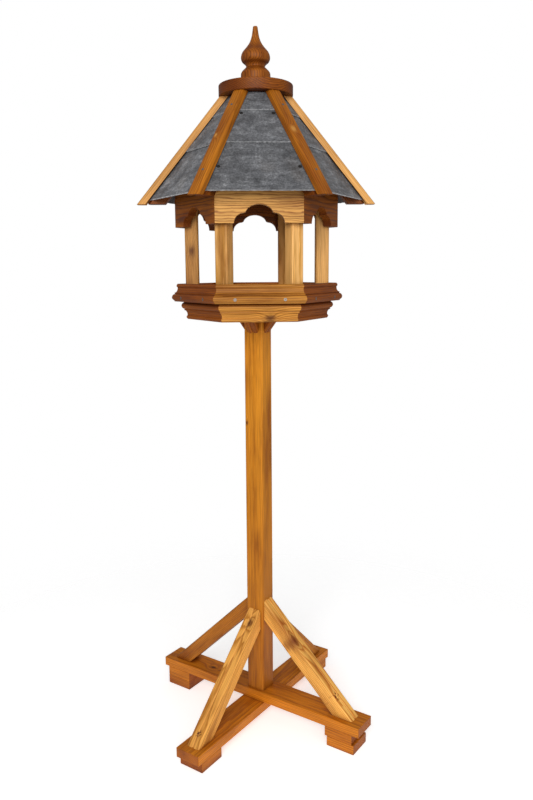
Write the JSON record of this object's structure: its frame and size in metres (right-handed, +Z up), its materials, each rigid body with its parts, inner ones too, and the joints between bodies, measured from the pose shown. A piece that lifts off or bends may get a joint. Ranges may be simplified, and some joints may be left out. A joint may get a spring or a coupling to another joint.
{
  "type": "bird feeder on pole",
  "caption": "Free-standing timber bird table: hexagonal feeding tray with moulded rim, corner posts, arched frieze and slate roof, on a square pole with a braced cross base.",
  "frame": {"origin": "on the ground under the pole's axis, the centre of the bounding box's base", "axes": "+Z up along the pole; -Y is the front of the hexagonal table, whose corners lie on X; the cross base is turned 37 degrees clockwise from X"},
  "size_m": [0.5676, 0.5248, 1.7167],
  "materials": {
    "stained_pine": "satin orange-brown stain on planed pine",
    "rail_pine": "satin honey-brown stain on planed pine",
    "light_pine": "satin, light stain on planed pine",
    "dark_pine": "satin dark brown stain on planed pine",
    "slate": "riven grey slate, matt",
    "zinc_plated_steel": "zinc plated, dull"
  },
  "bodies": {
    "root": {"beam_upper": "stained_pine", "beam_lower": "stained_pine", "foot_front_right_lower": "stained_pine", "foot_front_right_upper": "stained_pine", "foot_back_left_lower": "stained_pine", "foot_back_left_upper": "stained_pine", "foot_front_left": "stained_pine", "foot_back_right": "stained_pine", "brace_back_right": "stained_pine", "brace_back_left": "stained_pine", "brace_front_left": "stained_pine", "pole": "stained_pine", "pole_brackets": "stained_pine", "underboard": "stained_pine", "hip_rafters": "stained_pine", "roof_hub": "stained_pine", "lower_moulding_1": "stained_pine", "lower_moulding_2": "stained_pine", "lower_moulding_3": "stained_pine", "lower_moulding_4": "stained_pine", "lower_moulding_5": "stained_pine", "lower_moulding_6": "stained_pine", "upper_moulding_1": "stained_pine", "upper_moulding_2": "stained_pine", "upper_moulding_3": "stained_pine", "upper_moulding_4": "stained_pine", "upper_moulding_5": "stained_pine", "upper_moulding_6": "stained_pine", "hip_rail_1": "rail_pine", "hip_rail_2": "rail_pine", "hip_rail_3": "rail_pine", "hip_rail_4": "rail_pine", "hip_rail_5": "rail_pine", "hip_rail_6": "rail_pine", "brace_front_right": "light_pine", "table_floor": "light_pine", "post_1": "light_pine", "post_2": "light_pine", "post_3": "light_pine", "post_4": "light_pine", "post_5": "light_pine", "post_6": "light_pine", "cap_disc": "dark_pine", "finial": "dark_pine", "frieze_board_1": "dark_pine", "frieze_board_2": "dark_pine", "frieze_board_3": "dark_pine", "frieze_board_4": "dark_pine", "frieze_board_5": "dark_pine", "frieze_board_6": "dark_pine", "slates_lower": "slate", "slates_middle": "slate", "slates_top": "slate", "brace_screws": "zinc_plated_steel", "foot_screws": "zinc_plated_steel", "pole_screws": "zinc_plated_steel", "post_screws": "zinc_plated_steel", "moulding_screws": "zinc_plated_steel", "rail_nails": "zinc_plated_steel"}
  },
  "joints": []
}
